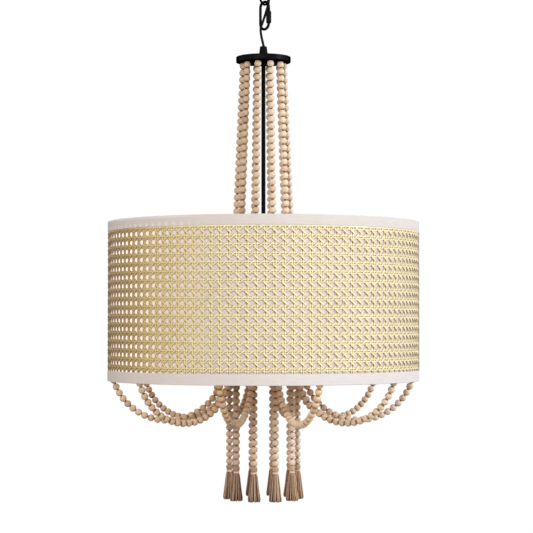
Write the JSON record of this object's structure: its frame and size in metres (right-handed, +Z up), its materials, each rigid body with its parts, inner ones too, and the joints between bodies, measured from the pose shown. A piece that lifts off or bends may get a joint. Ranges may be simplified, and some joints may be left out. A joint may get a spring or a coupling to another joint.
{
  "type": "beaded chandelier",
  "caption": "Hanging drum chandelier: wood bead strings run from a round top plate through a cane webbing shade into tassels, with bead swags below the rim.",
  "frame": {"origin": "middle of the ceiling face of the mounting strap", "axes": "+Z up out of the ceiling face, front of the picture towards -Y, +X to the right of the picture"},
  "size_m": [0.6229, 0.6218, 1.0811],
  "materials": {
    "black_steel": "satin black powder coat",
    "black_cord": "matte black jacket",
    "wood_bead": "unvarnished pale wood",
    "tassel_yarn": "matte brown yarn",
    "cane": "natural cane webbing",
    "trim_fabric": "off-white woven trim",
    "liner_fabric": "white translucent liner",
    "socket_sleeve": "ivory candle sleeve",
    "bulb_glass": "frosted candle bulb"
  },
  "bodies": {
    "ceiling": {"mounting_strap": "black_steel", "ceiling_canopy": "black_steel", "canopy_loop": "black_steel"},
    "fixture": {"chain_link": "black_steel", "quick_link": "black_steel", "cord": "black_cord", "cord_grip": "black_steel", "top_plate": "black_steel", "center_rod": "black_steel", "shade_spider": "black_steel", "light_hub": "black_steel", "bead_ring": "black_steel", "finial": "black_steel", "shade_ring": "black_steel", "shade_liner": "liner_fabric", "shade_cane": "cane", "top_trim": "trim_fabric", "bottom_trim": "trim_fabric", "seam_strip": "trim_fabric", "upper_string_01": "wood_bead", "upper_string_02": "wood_bead", "upper_string_03": "wood_bead", "upper_string_04": "wood_bead", "upper_string_05": "wood_bead", "upper_string_06": "wood_bead", "upper_string_07": "wood_bead", "upper_string_08": "wood_bead", "upper_string_09": "wood_bead", "upper_string_10": "wood_bead", "socket_1": "socket_sleeve", "socket_2": "socket_sleeve", "socket_3": "socket_sleeve", "socket_4": "socket_sleeve", "socket_5": "socket_sleeve"},
    "sleeve": {"quick_link_sleeve": "black_steel"},
    "tassel_01": {"tassel_string_01": "wood_bead"},
    "tassel_02": {"tassel_string_02": "wood_bead"},
    "tassel_03": {"tassel_string_03": "wood_bead"},
    "tassel_04": {"tassel_string_04": "wood_bead"},
    "tassel_05": {"tassel_string_05": "wood_bead"},
    "tassel_06": {"tassel_string_06": "wood_bead"},
    "tassel_07": {"tassel_string_07": "wood_bead"},
    "tassel_08": {"tassel_string_08": "wood_bead"},
    "tassel_09": {"tassel_string_09": "wood_bead"},
    "tassel_10": {"tassel_string_10": "wood_bead"},
    "swag_01": {"swag_01": "wood_bead"},
    "swag_02": {"swag_02": "wood_bead"},
    "swag_03": {"swag_03": "wood_bead"},
    "swag_04": {"swag_04": "wood_bead"},
    "swag_05": {"swag_05": "wood_bead"},
    "swag_06": {"swag_06": "wood_bead"},
    "swag_07": {"swag_07": "wood_bead"},
    "swag_08": {"swag_08": "wood_bead"},
    "swag_09": {"swag_09": "wood_bead"},
    "swag_10": {"swag_10": "wood_bead"},
    "bulb_1": {"bulb_1": "bulb_glass"},
    "bulb_2": {"bulb_2": "bulb_glass"},
    "bulb_3": {"bulb_3": "bulb_glass"},
    "bulb_4": {"bulb_4": "bulb_glass"},
    "bulb_5": {"bulb_5": "bulb_glass"}
  },
  "joints": [
    {"name": "fixture_swing", "type": "hinge", "parent": "ceiling", "child": "fixture", "pos_m": [0, 0, -0.0519], "axis": [0.7431, -0.6691, 0], "range_deg": [-8, 8], "deforming": ["cord"]},
    {"name": "sleeve_slide", "type": "slide", "parent": "fixture", "child": "sleeve", "axis": [0, 0, 1], "range_m": [0, 0.0065]},
    {"name": "tassel_01_swing", "type": "hinge", "parent": "fixture", "child": "tassel_01", "pos_m": [0.02363, -0.06355, -0.83686], "axis": [-0.9373, -0.3486, 0], "range_deg": [-5, 5]},
    {"name": "tassel_02_swing", "type": "hinge", "parent": "fixture", "child": "tassel_02", "pos_m": [0.05647, -0.03752, -0.83686], "axis": [-0.5534, -0.8329, 0], "range_deg": [-5, 5]},
    {"name": "tassel_03_swing", "type": "hinge", "parent": "fixture", "child": "tassel_03", "pos_m": [0.06774, 0.00284, -0.83686], "axis": [0.0419, -0.9991, 0], "range_deg": [-5, 5]},
    {"name": "tassel_04_swing", "type": "hinge", "parent": "fixture", "child": "tassel_04", "pos_m": [0.05313, 0.04211, -0.83686], "axis": [0.6211, -0.7837, 0], "range_deg": [-5, 5]},
    {"name": "tassel_05_swing", "type": "hinge", "parent": "fixture", "child": "tassel_05", "pos_m": [0.01823, 0.0653, -0.83686], "axis": [0.9632, -0.2689, 0], "range_deg": [-5, 5]},
    {"name": "tassel_06_swing", "type": "hinge", "parent": "fixture", "child": "tassel_06", "pos_m": [-0.02363, 0.06355, -0.83686], "axis": [0.9373, 0.3486, 0], "range_deg": [-5, 5]},
    {"name": "tassel_07_swing", "type": "hinge", "parent": "fixture", "child": "tassel_07", "pos_m": [-0.05647, 0.03752, -0.83686], "axis": [0.5534, 0.8329, 0], "range_deg": [-5, 5]},
    {"name": "tassel_08_swing", "type": "hinge", "parent": "fixture", "child": "tassel_08", "pos_m": [-0.06774, -0.00284, -0.83686], "axis": [-0.0419, 0.9991, 0], "range_deg": [-5, 5]},
    {"name": "tassel_09_swing", "type": "hinge", "parent": "fixture", "child": "tassel_09", "pos_m": [-0.05313, -0.04211, -0.83686], "axis": [-0.6211, 0.7837, 0], "range_deg": [-5, 5]},
    {"name": "tassel_10_swing", "type": "hinge", "parent": "fixture", "child": "tassel_10", "pos_m": [-0.01823, -0.0653, -0.83686], "axis": [-0.9632, 0.2689, 0], "range_deg": [-5, 5]},
    {"name": "swag_01_sway", "type": "hinge", "parent": "fixture", "child": "swag_01", "pos_m": [0.06646, -0.17869, -0.83686], "axis": [0.3486, -0.9373, 0], "range_deg": [-10, 10]},
    {"name": "swag_02_sway", "type": "hinge", "parent": "fixture", "child": "swag_02", "pos_m": [0.1588, -0.1055, -0.83686], "axis": [0.8329, -0.5534, 0], "range_deg": [-10, 10]},
    {"name": "swag_03_sway", "type": "hinge", "parent": "fixture", "child": "swag_03", "pos_m": [0.19048, 0.00798, -0.83686], "axis": [0.9991, 0.0419, 0], "range_deg": [-10, 10]},
    {"name": "swag_04_sway", "type": "hinge", "parent": "fixture", "child": "swag_04", "pos_m": [0.14941, 0.11842, -0.83686], "axis": [0.7837, 0.6211, 0], "range_deg": [-10, 10]},
    {"name": "swag_05_sway", "type": "hinge", "parent": "fixture", "child": "swag_05", "pos_m": [0.05127, 0.18363, -0.83686], "axis": [0.2689, 0.9632, 0], "range_deg": [-10, 10]},
    {"name": "swag_06_sway", "type": "hinge", "parent": "fixture", "child": "swag_06", "pos_m": [-0.06646, 0.17869, -0.83686], "axis": [-0.3486, 0.9373, 0], "range_deg": [-10, 10]},
    {"name": "swag_07_sway", "type": "hinge", "parent": "fixture", "child": "swag_07", "pos_m": [-0.1588, 0.1055, -0.83686], "axis": [-0.8329, 0.5534, 0], "range_deg": [-10, 10]},
    {"name": "swag_08_sway", "type": "hinge", "parent": "fixture", "child": "swag_08", "pos_m": [-0.19048, -0.00798, -0.83686], "axis": [-0.9991, -0.0419, 0], "range_deg": [-10, 10]},
    {"name": "swag_09_sway", "type": "hinge", "parent": "fixture", "child": "swag_09", "pos_m": [-0.14941, -0.11842, -0.83686], "axis": [-0.7837, -0.6211, 0], "range_deg": [-10, 10]},
    {"name": "swag_10_sway", "type": "hinge", "parent": "fixture", "child": "swag_10", "pos_m": [-0.05127, -0.18363, -0.83686], "axis": [-0.2689, -0.9632, 0], "range_deg": [-10, 10]},
    {"name": "bulb_1_lift", "type": "slide", "parent": "fixture", "child": "bulb_1", "axis": [0, 0, 1], "range_m": [0, 0.03]},
    {"name": "bulb_2_lift", "type": "slide", "parent": "fixture", "child": "bulb_2", "axis": [0, 0, 1], "range_m": [0, 0.03]},
    {"name": "bulb_3_lift", "type": "slide", "parent": "fixture", "child": "bulb_3", "axis": [0, 0, 1], "range_m": [0, 0.03]},
    {"name": "bulb_4_lift", "type": "slide", "parent": "fixture", "child": "bulb_4", "axis": [0, 0, 1], "range_m": [0, 0.03]},
    {"name": "bulb_5_lift", "type": "slide", "parent": "fixture", "child": "bulb_5", "axis": [0, 0, 1], "range_m": [0, 0.03]}
  ]
}
